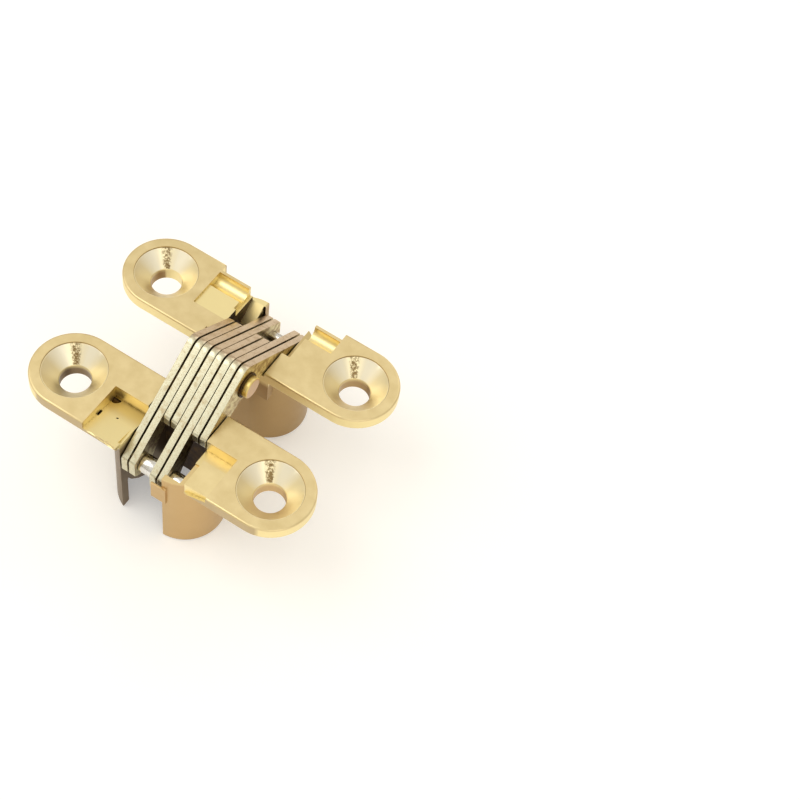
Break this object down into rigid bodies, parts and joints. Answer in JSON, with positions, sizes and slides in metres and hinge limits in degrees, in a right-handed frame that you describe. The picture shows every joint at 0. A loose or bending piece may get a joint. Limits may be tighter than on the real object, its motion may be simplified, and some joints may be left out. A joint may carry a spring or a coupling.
{
  "type": "concealed invisible door hinge",
  "caption": "Concealed door hinge: two die-cast leaves with deep cups, joined by crossing elbow link plates that slide and fold into the cups as the door closes",
  "frame": {"origin": "middle of the open hinge, at the level of the cup bottoms on which it stands", "axes": "+X along the leaves, +Y from the near leaf to the far leaf, +Z out of the leaf faces"},
  "size_m": [0.0468, 0.0348, 0.0252],
  "materials": {
    "plated_casting": "die-cast zinc alloy, satin brass plated",
    "plated_plate": "blanked steel, brass plated, cut edges pale",
    "plated_rivet": "brass plated steel rivet",
    "bright_steel": "bright turned steel"
  },
  "bodies": {
    "near_leaf": {"near_leaf_casting": "plated_casting", "near_pivot_pin": "bright_steel", "near_pivot_sleeve_1": "bright_steel", "near_pivot_sleeve_2": "bright_steel"},
    "far_leaf": {"far_leaf_casting": "plated_casting", "far_pivot_pin": "bright_steel", "far_pivot_sleeve_1": "bright_steel", "far_pivot_sleeve_2": "bright_steel"},
    "links_set_1": {"link_plate_1": "plated_plate", "link_plate_2": "plated_plate", "link_plate_5": "plated_plate", "link_plate_6": "plated_plate", "near_slide_pin": "bright_steel", "near_slide_sleeve_1": "bright_steel", "near_slide_sleeve_2": "bright_steel"},
    "links_set_2": {"link_plate_3": "plated_plate", "link_plate_4": "plated_plate", "link_plate_7": "plated_plate", "link_plate_8": "plated_plate", "far_slide_pin": "bright_steel", "centre_pin": "plated_rivet", "centre_washer": "plated_plate"}
  },
  "joints": [
    {"name": "near_pivot", "type": "hinge", "parent": "near_leaf", "child": "links_set_2", "pos_m": [0, -0.0062, 0.0151], "axis": [1, 0, 0], "range_deg": [0, 106.17]},
    {"name": "centre_pivot", "type": "hinge", "parent": "links_set_2", "child": "links_set_1", "pos_m": [0, 0, 0.0214], "axis": [1, 0, 0], "range_deg": [-32.34, 0]},
    {"name": "far_pivot", "type": "hinge", "parent": "links_set_1", "child": "far_leaf", "pos_m": [0, 0.0062, 0.0151], "axis": [1, 0, 0], "range_deg": [0, 106.17]}
  ],
  "couplings": [
    {"joint": "centre_pivot", "follows": "near_pivot", "ratio": -0.30464},
    {"joint": "far_pivot", "follows": "near_pivot", "ratio": 1}
  ]
}
